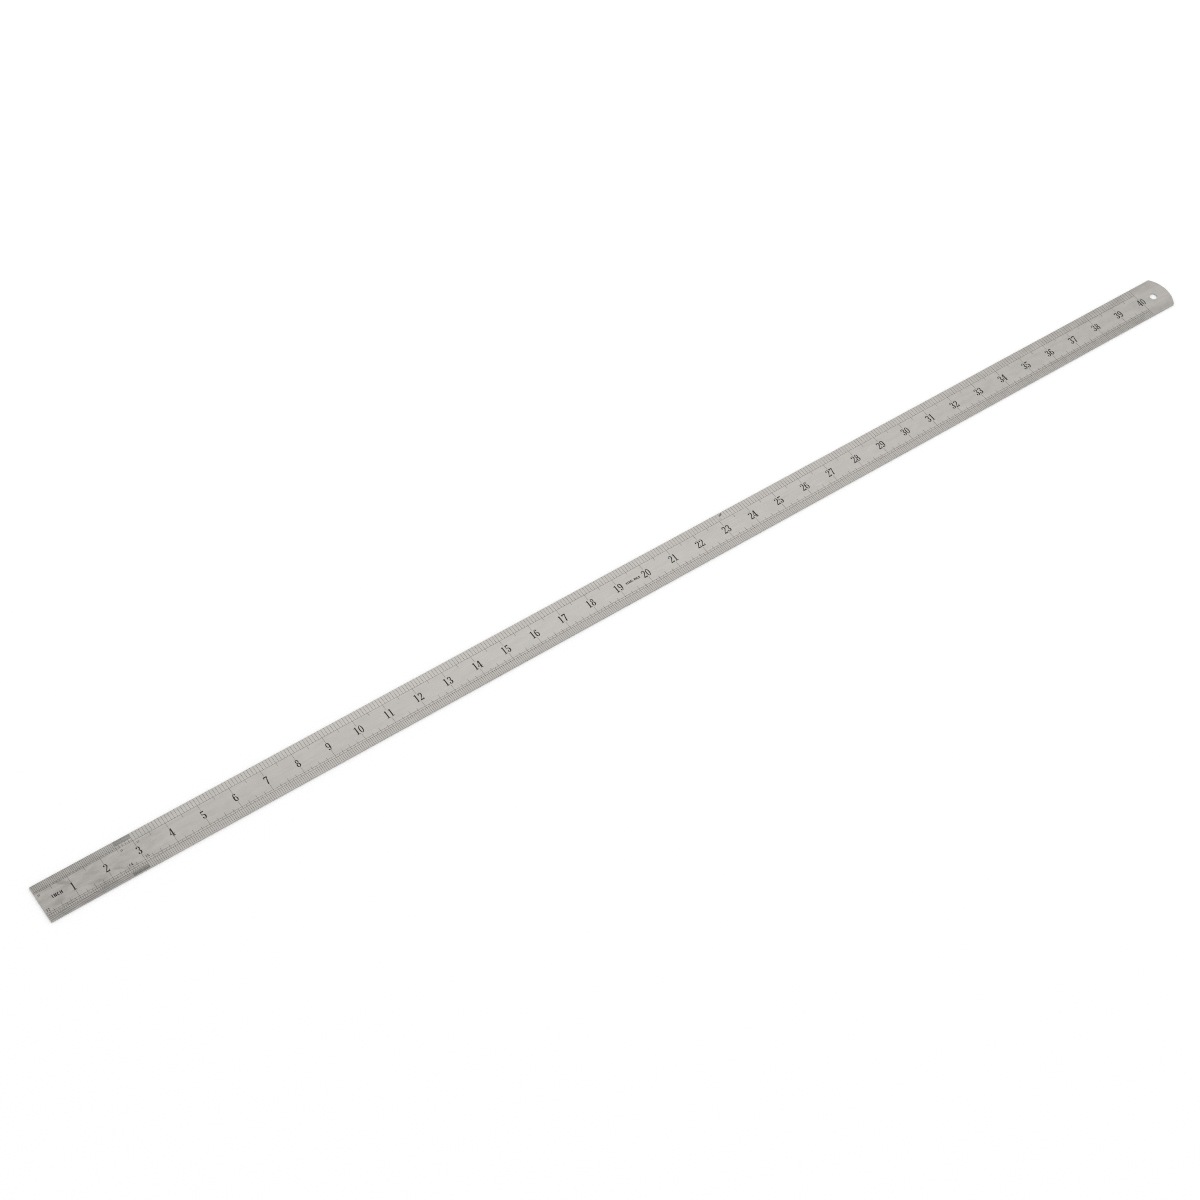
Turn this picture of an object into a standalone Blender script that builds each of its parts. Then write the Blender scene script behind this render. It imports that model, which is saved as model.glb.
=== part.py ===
"""A forty-inch steel rule: one strip of hardened steel, and the black enamel of its marks.

The strip lies on its back with the inch face up. Its zero end is at -X and its hanging hole
at +X. The origin is under the middle of the strip, on the surface that it lies on. The enamel
of each number, letter and scale is a separate body. All sizes are in metres.
"""

import math

import bmesh
import bpy
from mathutils import Vector
from mathutils.geometry import delaunay_2d_cdt

# The strip
INCH = 0.0254
MARKED_INCHES = 40
STEEL_PAST_MARKS = 0.028  # from the last graduation to the crown of the hanging end
WIDTH = 0.0315
THICKNESS = 0.0012
EDGE_BREAK = 0.0001
CROWN_RADIUS = 0.024
CROWN_CORNER = 0.0012
ZERO_CORNER = 0.0004
HOLE_DIAMETER = 0.0064
HOLE_FROM_CROWN = 0.0145

# The enamel
FILM = 0.00005
FILM_GAP = 0.00002  # between the steel and the enamel on it
EDGE_CLEARANCE = 0.0003  # from a long edge of the strip to the foot of a graduation
LINE = 0.00017  # width of a graduation
BASE_LINE = 0.00015  # width of the line that runs through the graduations
NEAR_BASE = 0.0056  # places of the base lines, from their edges
FAR_BASE = 0.0066
NEAR_HALF = 0.0099  # length of a half-inch graduation, from its edge
FAR_HALF = 0.0094
FIGURE_HEIGHT = 0.0065
FIGURE_FOOT = -0.0029  # the numbers' foot line, from the middle of the strip
FIGURE_CLEARANCE = 0.0004  # from a number to the inch graduations below and above it
LETTER_HEIGHT = 0.0027
LETTER_GAP = 0.0004
LEGEND_START = 0.009  # from the zero end
LEGEND_FOOT = -0.0004

# The shapes of figures and letters, as shares of their height
STEM = 0.18
HAIRLINE = 0.045
LETTER_STROKE = 0.2
LETTER_WIDTH = 0.68
TOUCH = 0.012  # how far the second figure of a number reaches into the first
BOWL_STEPS = 10

LENGTH = MARKED_INCHES * INCH + STEEL_PAST_MARKS
ZERO = -LENGTH / 2
CROWN_STEPS = 16
HOLE_STEPS = 28
CUT_MARGIN = 0.001
WELD = 1e-6


def clear_scene():
    for old in list(bpy.data.objects):
        bpy.data.objects.remove(old, do_unlink=True)


def new_material(name, colour, roughness, metallic):
    material = bpy.data.materials.new(name)
    material.use_nodes = True
    shader = material.node_tree.nodes["Principled BSDF"]
    shader.inputs["Base Color"].default_value = (*colour, 1)
    shader.inputs["Roughness"].default_value = roughness
    shader.inputs["Metallic"].default_value = metallic
    material.diffuse_color = (*colour, 1)
    return material


def new_object(name, bm, material=None):
    mesh = bpy.data.meshes.new(name)
    bm.to_mesh(mesh)
    bm.free()
    if material:
        mesh.materials.append(material)
    made = bpy.data.objects.new(name, mesh)
    bpy.context.collection.objects.link(made)
    return made


# ---------------------------------------------------------------- the strip


def strip_outline():
    """The outline with its corners sharp: straight at zero, an arc at the hanging end."""
    crown = LENGTH / 2
    centre = crown - CROWN_RADIUS
    half_angle = math.asin(WIDTH / 2 / CROWN_RADIUS)
    outline = [(ZERO, WIDTH / 2), (ZERO, -WIDTH / 2)]
    for step in range(CROWN_STEPS + 1):
        angle = half_angle * (2 * step / CROWN_STEPS - 1)
        x = centre + CROWN_RADIUS * math.cos(angle)
        outline.append((x, CROWN_RADIUS * math.sin(angle)))
    return outline


def round_corner(bm, x, y, size, segments):
    edges = [
        edge
        for edge in bm.edges
        if all(math.hypot(end.co.x - x, end.co.y - y) < WELD for end in edge.verts)
    ]
    bmesh.ops.bevel(bm, geom=edges, offset=size, segments=segments, profile=0.5, affect="EDGES")


def hanging_hole_cutter():
    bm = bmesh.new()
    bmesh.ops.create_cone(
        bm,
        cap_ends=True,
        segments=HOLE_STEPS,
        radius1=HOLE_DIAMETER / 2,
        radius2=HOLE_DIAMETER / 2,
        depth=THICKNESS + 2 * CUT_MARGIN,
    )
    cutter = new_object("hanging_hole_cutter", bm)
    cutter.location = (LENGTH / 2 - HOLE_FROM_CROWN, 0, THICKNESS / 2)
    cutter.hide_render = True
    cutter.display_type = "WIRE"
    return cutter


def make_blade(material):
    bm = bmesh.new()
    outline = strip_outline()
    under = bm.faces.new([bm.verts.new((x, y, 0)) for x, y in outline])
    raised = bmesh.ops.extrude_face_region(bm, geom=[under])
    top = [item for item in raised["geom"] if isinstance(item, bmesh.types.BMVert)]
    bmesh.ops.translate(bm, verts=top, vec=(0, 0, THICKNESS))
    bmesh.ops.recalc_face_normals(bm, faces=bm.faces)
    for x, y in outline[:2]:
        round_corner(bm, x, y, ZERO_CORNER, 2)
    for x, y in (outline[2], outline[-1]):
        round_corner(bm, x, y, CROWN_CORNER, 3)

    blade = new_object("blade", bm, material)
    hole = blade.modifiers.new("hanging_hole", "BOOLEAN")
    hole.object = hanging_hole_cutter()
    hole.solver = "EXACT"
    breaks = blade.modifiers.new("broken_edges", "BEVEL")
    breaks.width = EDGE_BREAK
    breaks.segments = 1
    breaks.limit_method = "ANGLE"
    breaks.angle_limit = math.radians(60)


# ---------------------------------------------------------------- strokes


def bar(left, foot, right, top):
    return [(left, foot), (right, foot), (right, top), (left, top)]


def ball(x, y, radius):
    angles = [math.tau * step / 8 for step in range(8)]
    return [(x + radius * math.cos(angle), y + radius * math.sin(angle)) for angle in angles]


def bowl(x, y, half_width, half_height, left, right, start=0, stop=360, thin=HAIRLINE):
    """A round stroke from one angle to another, as four-sided pieces.

    It is as thick as left and right say at its sides, and thin at its top and its foot.
    """
    steps = round(BOWL_STEPS * (stop - start) / 360)
    hollow_x = x + (left - right) / 2
    hollow_width = half_width - (left + right) / 2
    rims = []
    for step in range(steps + 1):
        angle = math.radians(start + (stop - start) * step / steps)
        cos, sin = math.cos(angle), math.sin(angle)
        outer = (x + half_width * cos, y + half_height * sin)
        inner = (hollow_x + hollow_width * cos, y + (half_height - thin) * sin)
        rims.append((outer, inner))
    return [[a[0], b[0], b[1], a[1]] for a, b in zip(rims, rims[1:])]


def falling_stroke(steps=4):
    """The leg of the seven: a curve that thickens as it falls."""
    rows = []
    for step in range(steps + 1):
        fall = step / steps
        x = 0.235 * (1 - fall) ** 2 - 0.01
        half = HAIRLINE / 2 + (STEM / 2 - HAIRLINE / 2) * math.sqrt(fall)
        rows.append(((x - half, 0.9 * (1 - fall)), (x + half, 0.9 * (1 - fall))))
    return [[a[0], b[0], b[1], a[1]] for a, b in zip(rows, rows[1:])]


def figure_shapes():
    """The strokes of the ten figures, in a frame where a figure is 1 high and centred on x = 0."""
    six = bowl(0, 0.5, 0.27, 0.5, STEM - 0.03, HAIRLINE, 65, 270)
    six += bowl(0, 0.31, 0.27, 0.31, STEM - 0.03, STEM - 0.03)
    six.append(ball(0.12, 0.85, 0.09))
    nine = [[(-x, 1 - y) for x, y in shape] for shape in six]
    return {
        "0": bowl(0, 0.5, 0.27, 0.5, STEM - 0.03, STEM - 0.03),
        "1": [
            bar(-STEM / 2, 0, STEM / 2, 1),
            bar(-0.23, 0, 0.23, HAIRLINE),
            [(-0.26, 0.86), (0, 0.89), (0, 1), (-0.1, 1), (-0.26, 0.9)],
        ],
        "2": bowl(0, 0.73, 0.26, 0.27, HAIRLINE, STEM - 0.02, -36, 160)
        + [
            ball(-0.15, 0.79, 0.09),
            [(0.21, 0.572), (0.045, 0.6), (-0.27, 0.08), (-0.21, 0.08)],
            [(-0.27, 0), (0.25, 0), (0.25, 0.13), (0, 0.15), (-0.27, 0.1)],
            bar(0.25 - HAIRLINE, 0, 0.25, 0.28),
        ],
        "3": bowl(-0.03, 0.75, 0.25, 0.25, HAIRLINE, STEM - 0.03, -90, 155)
        + bowl(-0.02, 0.27, 0.28, 0.27, HAIRLINE, STEM, -155, 90)
        + [ball(-0.17, 0.82, 0.085), ball(-0.17, 0.19, 0.09)],
        "4": [
            bar(0.01, 0, 0.01 + STEM, 1),
            [(0.01, 1), (-0.3, 0.26), (-0.245, 0.26), (0.1, 1)],
            bar(-0.3, 0.23, 0.29, 0.23 + 1.2 * HAIRLINE),
            bar(-0.08, 0, 0.3, HAIRLINE),
        ],
        "5": bowl(-0.01, 0.31, 0.27, 0.31, HAIRLINE, STEM, -155, 142)
        + [
            ball(-0.16, 0.2, 0.09),
            bar(-0.235, 0.47, -0.235 + HAIRLINE, 1),
            [(-0.235, 0.85), (0.17, 0.85), (0.23, 1), (-0.235, 1)],
        ],
        "6": six,
        "7": [*falling_stroke(), bar(-0.25, 0.85, 0.26, 1), bar(-0.25, 0.71, -0.25 + HAIRLINE, 1)],
        "8": bowl(0, 0.745, 0.215, 0.255, 0.13, 0.13) + bowl(0, 0.27, 0.27, 0.27, 0.16, 0.16),
        "9": nine,
    }


def letter_shapes():
    """The strokes of the legend's plain letters, 1 high, from x = 0 to the right."""
    right = LETTER_WIDTH
    rail = bar(0, 0, LETTER_STROKE, 1)
    far_rail = bar(right - LETTER_STROKE, 0, right, 1)
    middle = (1 - LETTER_STROKE) / 2
    return {
        "I": [bar(0.3, 0, 0.3 + LETTER_STROKE, 1)],
        "N": [rail, far_rail, [(0, 1), (right - 0.2, 0), (right, 0), (0.2, 1)]],
        "C": bowl(right / 2, 0.5, right / 2, 0.5, LETTER_STROKE, LETTER_STROKE, 45, 315, LETTER_STROKE),
        "H": [rail, far_rail, bar(0, middle, right, middle + LETTER_STROKE)],
    }


# ---------------------------------------------------------------- enamel


def turned_left(shape):
    """The same outline, run anticlockwise."""
    area = sum(a[0] * b[1] - b[0] * a[1] for a, b in zip(shape, shape[1:] + shape[:1]))
    return shape if area > 0 else shape[::-1]


def new_enamel(name, shapes, material, size=1, x=0, y=0):
    """One film of enamel: the union of the shapes, which overlap, raised from the face."""
    points, outlines = [], []
    for shape in shapes:
        outlines.append(range(len(points), len(points) + len(shape)))
        points.extend(Vector((x + size * px, y + size * py)) for px, py in turned_left(shape))
    corners, _, faces, _, _, owners = delaunay_2d_cdt(points, [], outlines, 0, WELD)

    bm = bmesh.new()
    foot = THICKNESS + FILM_GAP
    verts = [bm.verts.new((corner.x, corner.y, foot)) for corner in corners]
    for face, owner in zip(faces, owners):
        if owner:
            bm.faces.new([verts[index] for index in face])
    bmesh.ops.delete(bm, geom=[vert for vert in bm.verts if not vert.link_faces], context="VERTS")
    bmesh.ops.dissolve_verts(bm, verts=[vert for vert in bm.verts if not vert.is_boundary])
    raised = bmesh.ops.extrude_face_region(bm, geom=bm.faces[:])
    top = [item for item in raised["geom"] if isinstance(item, bmesh.types.BMVert)]
    bmesh.ops.translate(bm, verts=top, vec=(0, 0, FILM))
    bmesh.ops.recalc_face_normals(bm, faces=bm.faces)
    new_object(name, bm, material)


def reach(shapes, row, side):
    """How far shapes reach to one side (-1 left, 1 right) at a row, or None where they are blank."""
    crossings = []
    for shape in shapes:
        for (ax, ay), (bx, by) in zip(shape, shape[1:] + shape[:1]):
            if (ay - row) * (by - row) < 0:
                crossings.append(ax + (bx - ax) * (row - ay) / (by - ay))
    return max((side * x for x in crossings), default=None)


def set_figures(text, figures):
    """The shapes of a number, centred. A second figure is set close, so that the two touch."""
    if len(text) == 1:
        return figures[text]
    first, second = (figures[figure] for figure in text)
    rows = [(step + 0.5) / 50 for step in range(50)]
    reaches = [(reach(first, row, 1), reach(second, row, -1)) for row in rows]
    advance = max(a + b for a, b in reaches if a is not None and b is not None) - TOUCH
    left = min(x for shape in first for x, _ in shape)
    right = max(x for shape in second for x, _ in shape) + advance
    middle = (left + right) / 2
    moved = [[(x - middle, y) for x, y in shape] for shape in first]
    return moved + [[(x + advance - middle, y) for x, y in shape] for shape in second]


def make_numbers(material):
    figures = figure_shapes()
    for number in range(1, MARKED_INCHES + 1):
        shapes = set_figures(str(number), figures)
        x = ZERO + number * INCH
        new_enamel(f"number_{number:02d}", shapes, material, FIGURE_HEIGHT, x, FIGURE_FOOT)


def make_legend(material):
    letters = letter_shapes()
    for place, letter in enumerate("INCH"):
        x = ZERO + LEGEND_START + place * (LETTER_HEIGHT * LETTER_WIDTH + LETTER_GAP)
        name = f"legend_letter_{letter.lower()}"
        new_enamel(name, letters[letter], material, LETTER_HEIGHT, x, LEGEND_FOOT)


def make_scale(name, side, base, half_length, inch_end, material):
    """The inch and half-inch graduations along one long edge (side -1 or 1), on their base line.

    The inch graduations run from the edge to inch_end, which is at the foot or top of the numbers.
    """
    edge = side * WIDTH / 2
    foot = edge - side * EDGE_CLEARANCE
    shapes = []
    for half in range(1, 2 * MARKED_INCHES + 1):
        x = ZERO + half * INCH / 2
        end = edge - side * half_length if half % 2 else inch_end
        shapes.append(bar(x - LINE / 2, foot, x + LINE / 2, end))
    start = ZERO + EDGE_CLEARANCE
    stop = ZERO + MARKED_INCHES * INCH
    line = edge - side * base
    shapes.append(bar(start, line - BASE_LINE / 2, stop, line + BASE_LINE / 2))
    new_enamel(name, shapes, material)


def main():
    clear_scene()
    steel = new_material("spring_steel", (0.62, 0.61, 0.59), 0.38, 1)
    enamel = new_material("black_enamel", (0.02, 0.02, 0.022), 0.5, 0)
    make_blade(steel)
    make_numbers(enamel)
    make_legend(enamel)
    below_numbers = FIGURE_FOOT - FIGURE_CLEARANCE
    above_numbers = FIGURE_FOOT + FIGURE_HEIGHT + FIGURE_CLEARANCE
    make_scale("near_scale", -1, NEAR_BASE, NEAR_HALF, below_numbers, enamel)
    make_scale("far_scale", 1, FAR_BASE, FAR_HALF, above_numbers, enamel)


main()
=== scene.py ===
"""The looks of a forty-inch steel rule, lying on a white table."""

import math

import bmesh
import bpy
from mathutils import Matrix, Vector
from mathutils.geometry import delaunay_2d_cdt


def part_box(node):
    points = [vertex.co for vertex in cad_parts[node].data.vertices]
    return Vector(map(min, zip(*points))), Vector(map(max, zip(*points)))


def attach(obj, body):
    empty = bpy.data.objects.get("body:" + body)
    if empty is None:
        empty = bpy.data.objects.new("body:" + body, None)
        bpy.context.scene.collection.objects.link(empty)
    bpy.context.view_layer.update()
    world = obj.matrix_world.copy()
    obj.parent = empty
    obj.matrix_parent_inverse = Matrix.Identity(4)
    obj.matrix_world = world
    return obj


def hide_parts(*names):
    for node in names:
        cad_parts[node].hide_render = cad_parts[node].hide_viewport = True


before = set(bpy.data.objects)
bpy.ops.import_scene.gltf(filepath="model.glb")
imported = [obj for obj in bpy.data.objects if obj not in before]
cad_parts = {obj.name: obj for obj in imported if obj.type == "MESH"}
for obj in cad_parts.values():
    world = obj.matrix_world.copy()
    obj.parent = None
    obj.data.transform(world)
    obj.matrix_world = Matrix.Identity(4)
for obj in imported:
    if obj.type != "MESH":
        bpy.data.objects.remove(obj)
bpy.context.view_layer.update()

# ------------------------------------------------------------------ the camera
# A camera on a tall stand at the near left of the table, leaning over the rule and turned a
# few degrees in its clamp. It looks at a point a little short of the rule's middle.

camera_place = Vector((-0.7591, -0.8244, 1.5292))
camera_target = Vector((-0.0568, -0.0003, 0))
camera_roll = math.radians(6.15)
lens_mm = 75.4
sensor_mm = 36

lens = bpy.data.cameras.new("camera")
lens.lens = lens_mm
lens.sensor_width = sensor_mm
camera = bpy.data.objects.new("camera", lens)
bpy.context.collection.objects.link(camera)
aim = (camera_target - camera_place).to_track_quat("-Z", "Y").to_matrix()
turn = aim @ Matrix.Rotation(camera_roll, 3, "Z")
camera.matrix_world = Matrix.Translation(camera_place) @ turn.to_4x4()
bpy.context.scene.camera = camera

# ------------------------------------------------------------------ the strip
# One strip of hardened spring steel, cut from sheet and ground on both faces and edges. One end
# is square and is the scale's zero. The other is turned to a shallow arc and drilled, so that
# the rule can hang. Its sharp edges are broken with a stone.

inch = 0.0254
low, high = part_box("blade")
zero, crown = low.x, high.x
width = high.y - low.y
face = high.z
crown_radius = 0.024
crown_corner = 0.0012
zero_corner = 0.0004
hole_radius = 0.0032
hole_x = crown - 0.0145
edge_round = 0.0001


def arc(x, y, radius, start, stop, steps):
    """Points along an arc, its angles in degrees."""
    angles = [math.radians(start + (stop - start) * step / steps) for step in range(steps + 1)]
    return [(x + radius * math.cos(angle), y + radius * math.sin(angle)) for angle in angles]


def strip_outline():
    """The outline, run anticlockwise: the square end, the near edge, the crown, the far edge."""
    half = width / 2
    centre = crown - crown_radius
    corner_x = centre + math.sqrt((crown_radius - crown_corner) ** 2 - (half - crown_corner) ** 2)
    corner_y = half - crown_corner
    lean = math.degrees(math.atan2(corner_y, corner_x - centre))
    inner_x = zero + zero_corner
    inner_y = half - zero_corner
    return [
        *arc(inner_x, inner_y, zero_corner, 90, 180, 6),
        *arc(inner_x, -inner_y, zero_corner, 180, 270, 6),
        *arc(corner_x, -corner_y, crown_corner, -90, -lean, 8),
        *arc(centre, 0, crown_radius, -lean, lean, 64)[1:-1],
        *arc(corner_x, corner_y, crown_corner, lean, 90, 8),
    ]


def drilled_strip():
    """The strip with its hole and its broken edges, as a closed mesh."""
    outline = strip_outline()
    hole = arc(hole_x, 0, hole_radius, 0, 360, 72)[:-1]
    bm = bmesh.new()
    edges = []
    for ring in (outline, hole):
        verts = [bm.verts.new((x, y, face)) for x, y in ring]
        edges += [bm.edges.new(pair) for pair in zip(verts, verts[1:] + verts[:1])]
    bmesh.ops.triangle_fill(bm, edges=edges, use_beauty=True, normal=(0, 0, 1))
    lowered = bmesh.ops.extrude_face_region(bm, geom=bm.faces[:])
    bottom = [item for item in lowered["geom"] if isinstance(item, bmesh.types.BMVert)]
    bmesh.ops.translate(bm, verts=bottom, vec=(0, 0, low.z - face))
    bmesh.ops.recalc_face_normals(bm, faces=bm.faces)
    rims = [edge for edge in bm.edges if edge.calc_face_angle(0) > math.radians(60)]
    bmesh.ops.bevel(bm, geom=rims, offset=edge_round, segments=3, profile=0.6, affect="EDGES")
    mesh = bpy.data.meshes.new("strip")
    bm.to_mesh(mesh)
    bm.free()
    mesh.shade_smooth()
    mesh.set_sharp_from_angle(angle=math.radians(25))
    return mesh


class Signal:
    """An output of a shader node. Arithmetic on it adds Math nodes to its finish."""

    def __init__(self, finish, socket):
        self.finish = finish
        self.socket = socket

    def output(self, name):
        return Signal(self.finish, self.socket.node.outputs[name])

    def maths(self, operation, *values):
        return self.finish.node("ShaderNodeMath", {"operation": operation}, values)

    def clamped(self):
        return self.finish.node("ShaderNodeClamp", {}, [self])

    def __add__(self, other):
        return self.maths("ADD", self, other)

    def __sub__(self, other):
        return self.maths("SUBTRACT", self, other)

    def __rsub__(self, other):
        return self.maths("SUBTRACT", other, self)

    def __mul__(self, other):
        return self.maths("MULTIPLY", self, other)

    def __truediv__(self, other):
        return self.maths("DIVIDE", self, other)

    def __pow__(self, other):
        return self.maths("POWER", self, other)

    def __abs__(self):
        return self.maths("ABSOLUTE", self)

    def __lt__(self, other):
        return self.maths("LESS_THAN", self, other)

    __radd__ = __add__
    __rmul__ = __mul__


class Finish:
    """A material as it is put together. Its fixed values go straight to the shader's sockets."""

    def __init__(self, name, **fixed):
        self.material = bpy.data.materials.new(name)
        self.material.use_nodes = True
        self.tree = self.material.node_tree
        self.shader = self.tree.nodes["Principled BSDF"]
        self.set(**fixed)

    def feed(self, socket, value):
        if isinstance(value, Signal):
            self.tree.links.new(value.socket, socket)
        else:
            socket.default_value = value

    def node(self, kind, settings=(), values=(), output=0):
        """Any node: its settings first, then its sockets' values or links, by place or by name."""
        made = self.tree.nodes.new(kind)
        for name, value in dict(settings).items():
            setattr(made, name, value)
        named = values.items() if isinstance(values, dict) else enumerate(values)
        for socket, value in named:
            self.feed(made.inputs[socket], value)
        return Signal(self, made.outputs[output])

    def place(self):
        return self.node("ShaderNodeTexCoord", output="Object")

    def noise(self, size, turned=0.0, detail=2.0, roughness=0.5, shift=0.0):
        """Noise of a size in metres for each axis of the piece, turned about Z by an angle."""
        mapping = {"Vector": self.place(), "Location": (shift, 0, 0), "Rotation": (0, 0, turned)}
        mapping["Scale"] = size
        where = self.node("ShaderNodeMapping", {"vector_type": "TEXTURE"}, mapping)
        values = {"Vector": where, "Scale": 1.0, "Detail": detail, "Roughness": roughness}
        return self.node("ShaderNodeTexNoise", {}, values)

    def blend(self, factor, first, second):
        """One colour laid over another by a factor."""
        settings = {"data_type": "RGBA"}
        return self.node("ShaderNodeMix", settings, {0: factor, 6: first, 7: second}, 2)

    def spread(self, signal, start, stop):
        """0 below start, 1 above stop, and smooth between them."""
        settings = {"interpolation_type": "SMOOTHSTEP"}
        return self.node("ShaderNodeMapRange", settings, {0: signal, 1: start, 2: stop})

    def bump(self, height, depth, under=None):
        values = {"Height": height, "Distance": depth, "Strength": 1.0}
        if under:
            values["Normal"] = under
        return self.node("ShaderNodeBump", {}, values)

    def set(self, **sockets):
        for name, value in sockets.items():
            socket = name.replace("_", " ").title().replace("Ior", "IOR")
            self.feed(self.shader.inputs[socket], value)


# Marks that handling has left: place from zero, height above the middle, half length, half
# width, turn in degrees and depth.
stains = [
    (0.0205, 0.0070, 0.0060, 0.0016, -35, 0.30),
    (0.0120, -0.0045, 0.0060, 0.0022, 15, 0.20),
    (0.0400, -0.0050, 0.0080, 0.0014, -12, 0.22),
    (0.0585, -0.0048, 0.0055, 0.0012, -28, 0.26),
    (0.5882, 0.0138, 0.0018, 0.0008, 35, 1.00),
    (0.5855, 0.0105, 0.0010, 0.0004, 70, 0.50),
]


def stain_mask(steel, x, y):
    """How strongly any stain shows: 1 in the middle of a full one, 0 away from them all."""
    ragged = steel.noise((0.0016, 0.0009, 0.001), detail=4.0, roughness=0.65) - 0.5
    total = 0
    for along, up, half_length, half_width, turn, depth in stains:
        cos, sin = math.cos(math.radians(turn)), math.sin(math.radians(turn))
        dx = x - (zero + along)
        dy = y - up
        far_along = (dx * cos + dy * sin) / half_length
        far_across = (dy * cos - dx * sin) / half_width
        distance = far_along ** 2 + far_across ** 2 + ragged * 3.0
        total = total + (1 - steel.spread(distance, 0.0, 1.6)) * depth
    return total.clamped()


def streaks(steel, turned, length, width, start, shift):
    """Thin straight scratches: the crests of a noise drawn out along one direction."""
    crests = steel.noise((length, width, width), turned, detail=0.0, shift=shift)
    return steel.spread(crests, start, start + 0.05)


dark_grain = (0.25, 0.241, 0.227, 1)
light_grain = (0.55, 0.531, 0.500, 1)
# Dull steel colour, used both for handling dirt and for painted shade.
dull_and_shaded = (0.262, 0.250, 0.236, 1)
# Painted highlight colour for the far rim.
painted_rim_highlight = (0.60, 0.59, 0.57, 1)
fresh_scratch = (0.60, 0.585, 0.56, 1)
tarnish = (0.10, 0.094, 0.083, 1)
cut_edge = (0.50, 0.49, 0.47, 1)


def ground_steel():
    """Satin spring steel: a fine grain along the strip, clouding, scratches and tarnish, with painted
    shade at its ends and painted highlight and shade on its rims.
    """
    steel = Finish("ground_spring_steel", metallic=1.0)
    spot = steel.node("ShaderNodeSeparateXYZ", {}, [steel.place()])
    x, y = spot.output("X"), spot.output("Y")

    fine_grain = steel.noise((0.012, 0.00012, 0.0004)) - 0.5
    long_grain = steel.noise((0.090, 0.0007, 0.0011)) - 0.5
    clouding = steel.noise((0.011, 0.0045, 0.005), detail=5.0, roughness=0.62) - 0.5
    specks = steel.noise((0.0011, 0.0008, 0.001), detail=3.0, roughness=0.7) - 0.5
    drift = steel.noise((0.130, 0.030, 0.03)) - 0.5
    scratches = streaks(steel, math.radians(2), 0.020, 0.0003, 0.77, 0.0)
    scratches = scratches + streaks(steel, math.radians(-24), 0.008, 0.0003, 0.79, 0.3)
    scratches = (scratches + streaks(steel, math.radians(58), 0.006, 0.0003, 0.80, 0.7)).clamped()
    stained = stain_mask(steel, x, y)

    # Both ends are darker: partly handling dirt, heaviest at the zero end, and partly painted shade
    # where the light falls off towards the ends and along the rims near the crown.
    past_start = steel.spread(x, zero + 0.035, zero + 0.115)
    near_crown = steel.spread(x, crown - 0.260, crown - 0.060)
    at_rims = steel.spread(abs(y), 0.006, 0.011)
    handling_and_end_shade = (1 - past_start) * (0.75 + at_rims * 0.25) + near_crown * at_rims * 0.55

    # Painted highlight and painted shade: the far rim is painted brighter over the first foot, and the
    # near rim is painted darker beyond it.
    far_rim = steel.spread(y, 0.007, 0.011)
    near_rim = steel.spread(y * -1.0, 0.007, 0.011)
    past_foot = steel.spread(x, zero + 0.25, zero + 0.43)
    brighter = far_rim * steel.spread(x, zero + 0.01, zero + 0.09) * (1 - past_foot)
    painted_near_rim_shade = near_rim * past_foot

    normal = steel.node("ShaderNodeTexCoord", output="Normal")
    facing = steel.node("ShaderNodeSeparateXYZ", {}, [normal]).output("Z")
    on_edge = abs(facing) < 0.9

    cloudy = clouding * (0.50 + handling_and_end_shade * 1.1) + specks * (0.10 + handling_and_end_shade * 0.45)
    shade = fine_grain * 0.30 + long_grain * 0.22 + cloudy + drift * 0.16 + 0.5
    sheet = steel.blend(shade.clamped(), dark_grain, light_grain)
    # Darken the ends: handling dirt and painted shade.
    sheet = steel.blend(handling_and_end_shade * 0.42, sheet, dull_and_shaded)
    # Painted highlight on the far rim, painted shade on the near rim.
    sheet = steel.blend(brighter * 0.16, sheet, painted_rim_highlight)
    sheet = steel.blend(painted_near_rim_shade * 0.14, sheet, dull_and_shaded)
    sheet = steel.blend(scratches * 0.24, sheet, fresh_scratch)
    sheet = steel.blend(stained * 0.8, sheet, tarnish)
    sheet = steel.blend(on_edge * 0.5, sheet, cut_edge)

    satin = 0.40 + fine_grain * 0.14 + clouding * 0.20 + drift * 0.10 + handling_and_end_shade * 0.06
    rubbed = satin - scratches * 0.10 + stained * 0.2 - on_edge * 0.05
    grooves = steel.bump(fine_grain + long_grain * 0.6, 0.000005)
    grooves = steel.bump(scratches * -1.0, 0.000004, grooves)
    waves = steel.bump(drift, 0.00012, grooves)
    steel.set(base_color=sheet, roughness=rubbed.clamped(), normal=waves)
    return steel.material


strip_finish = ground_steel()
strip = bpy.data.objects.new("strip", drilled_strip())
bpy.context.collection.objects.link(strip)
strip.data.materials.append(strip_finish)
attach(strip, "root")
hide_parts("blade")

# ------------------------------------------------------------------ the enamel
# On the real rule every mark is etched and filled with black enamel, which is baked and rubbed level.
# Here each is laid as an enamel film a few hundredths of a millimetre thick, just above the strip's
# face. It is a little greyer where hands have worn it.

enamel_above_face = 0.000002
enamel_depth = 0.00002
full_black = (0.011, 0.011, 0.011, 1)
worn_black = (0.052, 0.048, 0.044, 1)


def baked_enamel():
    enamel = Finish("baked_black_enamel", metallic=0.0, specular_ior_level=0.2)
    worn = enamel.noise((0.008, 0.006, 0.006), detail=4.0, roughness=0.65)
    pitted = enamel.noise((0.00024, 0.0002, 0.0002))
    thin = enamel.spread(worn * 0.7 + pitted * 0.3, 0.46, 0.72)
    colour = enamel.blend(thin, full_black, worn_black)
    surface = enamel.bump(pitted, 0.000006)
    enamel.set(base_color=colour, roughness=0.42 + thin * 0.25, normal=surface)
    return enamel.material


enamel_finish = baked_enamel()


def turned_left(shape):
    """The same outline, run anticlockwise."""
    area = sum(a[0] * b[1] - b[0] * a[1] for a, b in zip(shape, shape[1:] + shape[:1]))
    return shape if area > 0 else shape[::-1]


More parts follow.
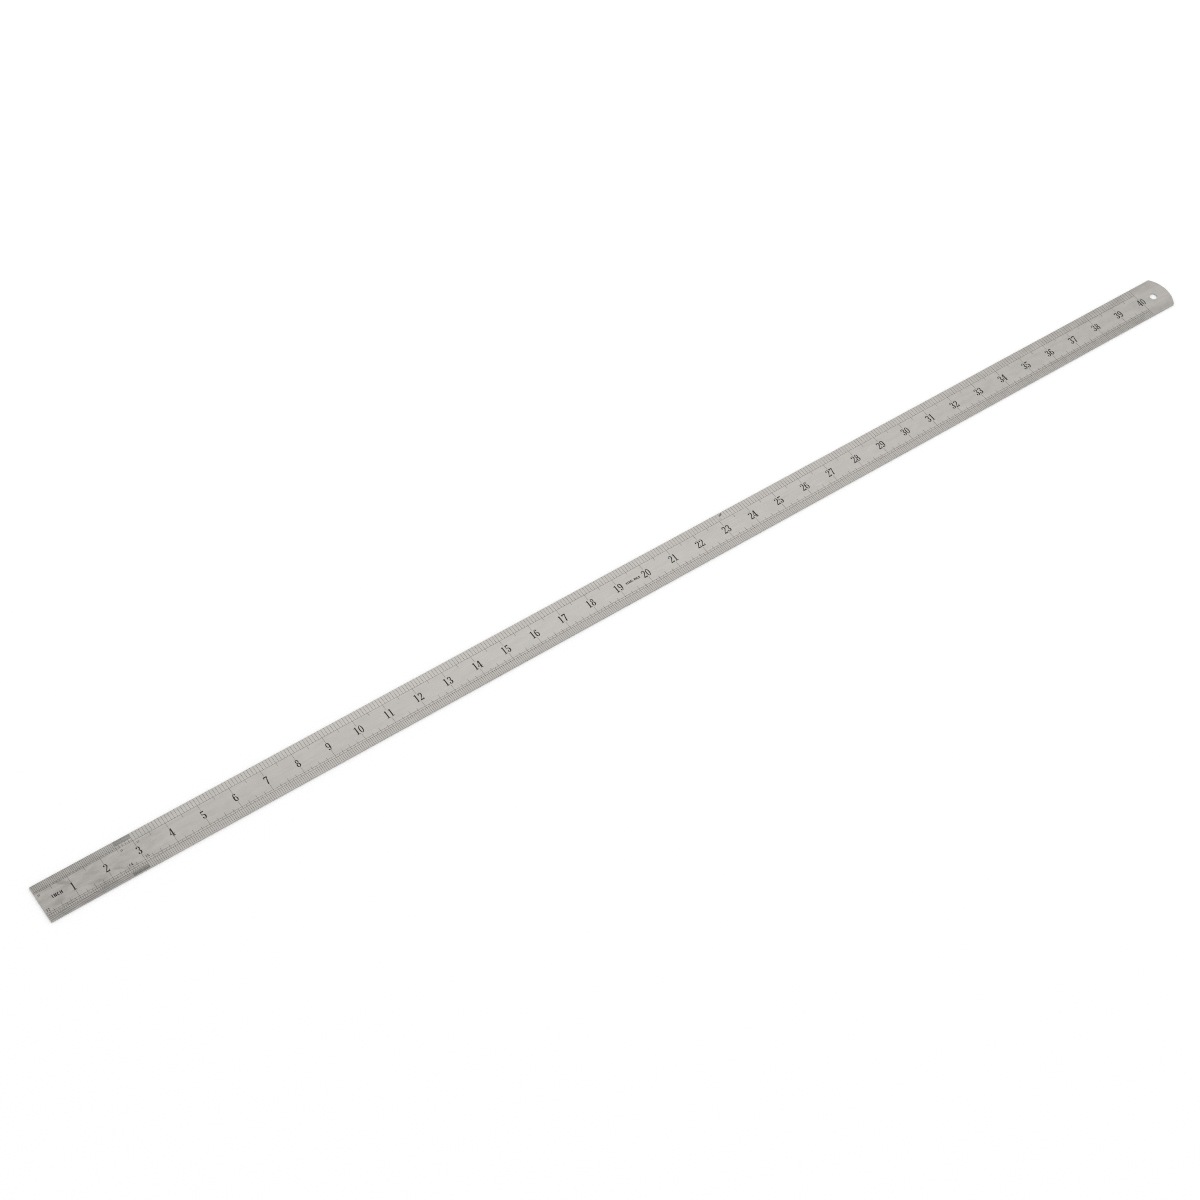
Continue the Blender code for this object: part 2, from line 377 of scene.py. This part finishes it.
def lay_enamel(name, shapes, size=1, x=0.0, y=0.0, stands_for=None):
    """One mark: the union of its strokes, as a closed film on the strip's face."""
    points, outlines = [], []
    for shape in shapes:
        outlines.append(range(len(points), len(points) + len(shape)))
        points += [Vector((x + size * px, y + size * py)) for px, py in turned_left(shape)]
    corners, _, faces, _, _, owners = delaunay_2d_cdt(points, [], outlines, 0, 1e-6)

    bm = bmesh.new()
    foot = face + enamel_above_face
    verts = [bm.verts.new((corner.x, corner.y, foot)) for corner in corners]
    for corner_numbers, owner in zip(faces, owners):
        if owner:
            bm.faces.new([verts[number] for number in corner_numbers])
    bmesh.ops.delete(bm, geom=[vert for vert in bm.verts if not vert.link_faces], context="VERTS")
    bmesh.ops.dissolve_verts(bm, verts=[vert for vert in bm.verts if not vert.is_boundary])
    raised = bmesh.ops.extrude_face_region(bm, geom=bm.faces[:])
    top = [item for item in raised["geom"] if isinstance(item, bmesh.types.BMVert)]
    bmesh.ops.translate(bm, verts=top, vec=(0, 0, enamel_depth))
    bmesh.ops.recalc_face_normals(bm, faces=bm.faces)
    mesh = bpy.data.meshes.new(name)
    bm.to_mesh(mesh)
    bm.free()
    mesh.materials.append(enamel_finish)
    mark = bpy.data.objects.new(name, mesh)
    bpy.context.collection.objects.link(mark)
    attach(mark, "root")
    if stands_for:
        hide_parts(stands_for)
    return mark


def bar(left, foot, right, top):
    return [(left, foot), (right, foot), (right, top), (left, top)]


# ------------------------------------------------------------------ the scales
# The near edge is divided into fractions of an inch and the far edge into decimals. Each has a
# finer start, so that a small length can be read closely. Fine base lines run through the ends
# of the shorter graduations and tie each scale into one etched pattern.

marked_inches = 40
line_width = 0.00017
closest_line_width = 0.0002  # the finest stretch is etched a little heavier
base_line_width = 0.00015
edge_clearance = 0.00018
close_inches = 2.5  # the first, finer stretch of each scale
closest_inches = 3.0  # the end of the second and finest
near_zones = [
    (0, close_inches, 32),
    (close_inches, closest_inches, 64),
    (closest_inches, marked_inches, 16),
]
far_zones = [
    (0, close_inches, 20),
    (close_inches, closest_inches, 50),
    (closest_inches, marked_inches, 10),
]
near_lengths = {64: 2.8, 32: 3.65, 16: 5.6, 8: 7.2, 4: 9.05, 2: 9.9, 1: 12.45}  # millimetres
far_lengths = {50: 4.0, 20: 5.6, 10: 6.6, 2: 9.4, 1: 11.75}
near_base_lines = {3.65: closest_inches, 5.6: marked_inches, 7.2: marked_inches}
far_base_lines = {5.6: closest_inches, 6.6: marked_inches}


def graduation_length(place, lengths):
    """The longest length that a whole part of an inch at this place allows, in metres."""
    fits = [mm for parts, mm in lengths.items() if abs(place * parts - round(place * parts)) < 1e-6]
    return max(fits) / 1000


def scale_shapes(side, zones, lengths, base_lines):
    """The graduations and base lines of one edge: side is -1 for the near one, 1 for the far."""
    edge = side * width / 2
    shapes = []
    for start, stop, parts in zones:
        half = (closest_line_width if start == close_inches else line_width) / 2
        for count in range(round(start * parts) + 1, round(stop * parts) + 1):
            x = zero + count / parts * inch
            length = graduation_length(count / parts, lengths)
            foot = edge - side * edge_clearance
            shapes.append(bar(x - half, foot, x + half, edge - side * length))
    for height_mm, inches in base_lines.items():
        y = edge - side * height_mm / 1000
        half = base_line_width / 2
        shapes.append(bar(zero + edge_clearance, y - half, zero + inches * inch, y + half))
    return shapes


near_marks = scale_shapes(-1, near_zones, near_lengths, near_base_lines)
lay_enamel("fractional_scale", near_marks, stands_for="near_scale")
far_marks = scale_shapes(1, far_zones, far_lengths, far_base_lines)
lay_enamel("decimal_scale", far_marks, stands_for="far_scale")

# ------------------------------------------------------------------ the numbers
# Forty numbers stand in the middle of the strip, each centred on its inch. They are a heavy
# old-fashioned face with thick stems, hairlines and ball ends, and a pair is set close.

figure_height = 0.0065
figure_foot = -0.0029
figure_squeeze = 0.9
figure_pitch = 0.55  # between the middles of two figures, as a share of their height
bowl_steps = 56
stem = 0.175
hairline = 0.065


def ball(x, y, radius):
    return arc(x, y, radius, 0, 360, 28)[:-1]


def bowl(x, y, half_width, half_height, left, right, start=0, stop=360, thin=hairline):
    """A round stroke from one angle to another, as four-sided pieces.

    It is as thick as left and right say at its sides, and thin at its top and its foot.
    """
    steps = round(bowl_steps * (stop - start) / 360)
    hollow_x = x + (left - right) / 2
    hollow_width = half_width - (left + right) / 2
    rims = []
    for step in range(steps + 1):
        angle = math.radians(start + (stop - start) * step / steps)
        cos, sin = math.cos(angle), math.sin(angle)
        outer = (x + half_width * cos, y + half_height * sin)
        inner = (hollow_x + hollow_width * cos, y + (half_height - thin) * sin)
        rims.append((outer, inner))
    return [[a[0], b[0], b[1], a[1]] for a, b in zip(rims, rims[1:])]


def falling_stroke(thin, steps=18):
    """The leg of the seven: a curve that thickens as it falls."""
    rows = []
    for step in range(steps + 1):
        fall = step / steps
        x = 0.235 * (1 - fall) ** 2 - 0.01
        half = thin / 2 + (stem / 2 - thin / 2) * math.sqrt(fall)
        rows.append(((x - half, 0.9 * (1 - fall)), (x + half, 0.9 * (1 - fall))))
    return [[a[0], b[0], b[1], a[1]] for a, b in zip(rows, rows[1:])]


def figure_strokes(thin=hairline):
    """The strokes of the ten figures, in a frame where a figure is 1 high and centred on x = 0."""
    side = stem - 0.03
    six = bowl(0, 0.5, 0.27, 0.5, side, thin, 62, 270, thin)
    six += bowl(0, 0.31, 0.27, 0.31, side, side, thin=thin)
    six.append(ball(0.115, 0.855, 0.088))
    nine = [[(-x, 1 - y) for x, y in shape] for shape in six]
    return {
        "0": bowl(0, 0.5, 0.27, 0.5, side, side, thin=thin),
        "1": [
            bar(-0.075, 0, 0.085, 1),
            bar(-0.2, 0, 0.21, thin),
            [(-0.22, 0.85), (0, 0.88), (0, 1), (-0.05, 1), (-0.11, 0.92), (-0.22, 0.89)],
        ],
        "2": bowl(0, 0.73, 0.26, 0.27, thin, stem - 0.02, -36, 160, thin)
        + [
            ball(-0.15, 0.79, 0.088),
            [(0.214, 0.578), (0.079, 0.614), (-0.05, 0.42), (-0.27, 0.08), (-0.2, 0.08), (0.07, 0.4)],
            [(-0.27, 0), (0.25, 0), (0.25, 0.12), (0.14, 0.12), (0, 0.15), (-0.12, 0.15), (-0.27, 0.1)],
            bar(0.25 - thin, 0, 0.25, 0.28),
        ],
        "3": bowl(-0.03, 0.75, 0.25, 0.25, thin, side, -90, 155, thin)
        + bowl(-0.02, 0.27, 0.28, 0.27, thin, stem, -155, 90, thin)
        + [ball(-0.17, 0.82, 0.085), ball(-0.17, 0.19, 0.09)],
        "4": [
            bar(0.01, 0, 0.01 + stem, 1),
            [(0.01, 1), (-0.3, 0.26), (-0.3 + 1.2 * thin, 0.26), (0.1, 1)],
            bar(-0.3, 0.23, 0.29, 0.23 + 1.2 * thin),
            bar(-0.06, 0, 0.28, thin),
        ],
        "5": bowl(-0.01, 0.31, 0.27, 0.31, thin, stem, -155, 142, thin)
        + [
            ball(-0.16, 0.2, 0.09),
            bar(-0.235, 0.47, -0.235 + thin, 1),
            [(-0.235, 0.85), (0.1, 0.85), (0.17, 0.87), (0.23, 1), (-0.235, 1)],
        ],
        "6": six,
        "7": [*falling_stroke(thin), bar(-0.25, 0.85, 0.26, 1), bar(-0.25, 0.71, -0.25 + thin, 1)],
        "8": bowl(0, 0.745, 0.215, 0.255, 0.13, 0.13, thin=thin)
        + bowl(0, 0.27, 0.27, 0.27, 0.16, 0.16, thin=thin),
        "9": nine,
    }


def set_figures(text, strokes, pitch=figure_pitch):
    """The shapes of a number: its figures side by side, at an even pitch and centred on x = 0."""
    shapes = []
    for place, figure in enumerate(text):
        middle = (place - (len(text) - 1) / 2) * pitch
        for shape in strokes[figure]:
            shapes.append([(x * figure_squeeze + middle, y) for x, y in shape])
    return shapes


number_strokes = figure_strokes()
for number in range(1, marked_inches + 1):
    x = zero + number * inch
    shapes = set_figures(str(number), number_strokes)
    node = f"number_{number:02d}"
    lay_enamel(f"inch_{number:02d}", shapes, figure_height, x, figure_foot, node)

# ------------------------------------------------------------------ the small figures
# Where a scale changes, small figures beside it say into how many parts it divides the inch.
# They are the same black enamel as the numbers, in thinner and lighter strokes.

near_label_height = 0.0023
far_label_height = 0.0016
label_start = 0.0026  # from the start of the stretch to the middle of its figures
near_label_foot = -0.00765
far_label_foot = 0.0059
label_hairline = 0.13
label_pitch = 0.66
label_strokes = figure_strokes(label_hairline)

for edge_name, zones, height, foot in (
    ("near", near_zones, near_label_height, near_label_foot),
    ("far", far_zones, far_label_height, far_label_foot),
):
    for start, _, parts_of_inch in zones:
        shapes = set_figures(str(parts_of_inch), label_strokes, label_pitch)
        x = zero + start * inch + label_start
        lay_enamel(f"{edge_name}_divisions_{parts_of_inch}", shapes, height, x, foot)

# ------------------------------------------------------------------ the lettering
# Plain capitals, in black enamel like every other mark: the unit beside the first inch, and what the
# rule is between the nineteenth and the twentieth.

unit_height = 0.0027
unit_pitch = 0.00224
unit_start = 0.0090
unit_foot = -0.0004
words_height = 0.0019
words_pitch = 0.00137
words_gap = 0.5  # the space between the words, as a share of the pitch
words_start = 0.4895
words_foot = -0.00055
letter_stroke = 0.23
letter_width = 0.68
small_letter_stroke = 0.25
small_letter_width = 0.62


def letter_strokes(pen, right):
    """The strokes of the capitals that the rule needs, 1 high, from x = 0 to the right."""
    rail = bar(0, 0, pen, 1)
    far_rail = bar(right - pen, 0, right, 1)
    middle = (1 - pen) / 2
    arms = [bar(0, height, right * 0.9, height + pen) for height in (0, middle, 1 - pen)]
    bow = bowl(right - 0.3, 0.74, 0.3, 0.26, pen, pen, -90, 90, pen)
    return {
        "I": [bar(0.28, 0, 0.28 + pen, 1)],
        "N": [rail, far_rail, [(0, 1), (right - 0.2, 0), (right, 0), (0.2, 1)]],
        "C": bowl(right / 2, 0.5, right / 2, 0.5, pen, pen, 45, 315, pen),
        "H": [rail, far_rail, bar(0, middle, right, middle + pen)],
        "S": bowl(right / 2, 0.73, right / 2, 0.27, pen, pen, 20, 270, pen)
        + bowl(right / 2, 0.27 + pen / 2, right / 2, 0.27 + pen / 2, pen, pen, -160, 90, pen),
        "T": [bar(0, 1 - pen, right, 1), bar((right - pen) / 2, 0, (right + pen) / 2, 1)],
        "E": [rail, *arms],
        "L": [rail, arms[0]],
        "R": [rail, bar(0, 1 - pen, right - 0.3, 1), bar(0, 0.48, right - 0.3, 0.48 + pen), *bow]
        + [[(0.28, 0.55), (right - 0.2, 0), (right, 0), (0.48, 0.55)]],
        "U": [bar(0, 0.35, pen, 1), bar(right - pen, 0.35, right, 1)]
        + bowl(right / 2, 0.37, right / 2, 0.37, pen, pen, 180, 360, pen),
    }


letters = letter_strokes(letter_stroke, letter_width)
small_letters = letter_strokes(small_letter_stroke, small_letter_width)
for place, letter in enumerate("INCH"):
    x = zero + unit_start + place * unit_pitch
    node = f"legend_letter_{letter.lower()}"
    lay_enamel(f"unit_{letter}", letters[letter], unit_height, x, unit_foot, node)
x = zero + words_start
for place, letter in enumerate("STEEL RULE"):
    if letter == " ":
        x += words_gap * words_pitch
    else:
        lay_enamel(f"words_{place}_{letter}", small_letters[letter], words_height, x, words_foot)
        x += words_pitch

# ------------------------------------------------------------------ the table and the light
# A wide white table under a white ceiling. One large soft lamp stands beyond the rule, where the
# steel mirrors it, so the middle of the strip is a little brighter than its ends.

table_size = 14.0
table_below_strip = 0.00005
room_brightness = 1.1
table_finish = Finish("white_table", roughness=0.9)
table_finish.set(base_color=(0.888, 0.888, 0.888, 1))
table_mesh = bpy.data.meshes.new("table")
bm = bmesh.new()
bmesh.ops.create_grid(bm, x_segments=1, y_segments=1, size=table_size / 2)
bm.to_mesh(table_mesh)
bm.free()
table_mesh.materials.append(table_finish.material)
table = bpy.data.objects.new("table", table_mesh)
table.location.z = -table_below_strip
bpy.context.collection.objects.link(table)

world = bpy.data.worlds.new("white_room")
world.use_nodes = True
world.node_tree.nodes["Background"].inputs["Color"].default_value = (1, 1, 1, 1)
world.node_tree.nodes["Background"].inputs["Strength"].default_value = room_brightness
bpy.context.scene.world = world
bpy.context.scene.view_settings.view_transform = "Standard"
# The graduations are too fine for any smoothing of the picture.
bpy.context.scene.cycles.use_denoising = False
bpy.context.scene.cycles.filter_width = 1.0


def soft_lamp(name, place, target, size_x, size_y, power):
    lamp = bpy.data.lights.new(name, "AREA")
    lamp.shape = "RECTANGLE"
    lamp.size = size_x
    lamp.size_y = size_y
    lamp.energy = power
    made = bpy.data.objects.new(name, lamp)
    bpy.context.collection.objects.link(made)
    look = (Vector(target) - Vector(place)).to_track_quat("-Z", "Y")
    made.location = place
    made.rotation_euler = look.to_euler()


soft_lamp(
    "far_lamp", place=(0.72, 0.85, 1.55), target=(0.05, 0, 0), size_x=1.3, size_y=1.0, power=2.2
)
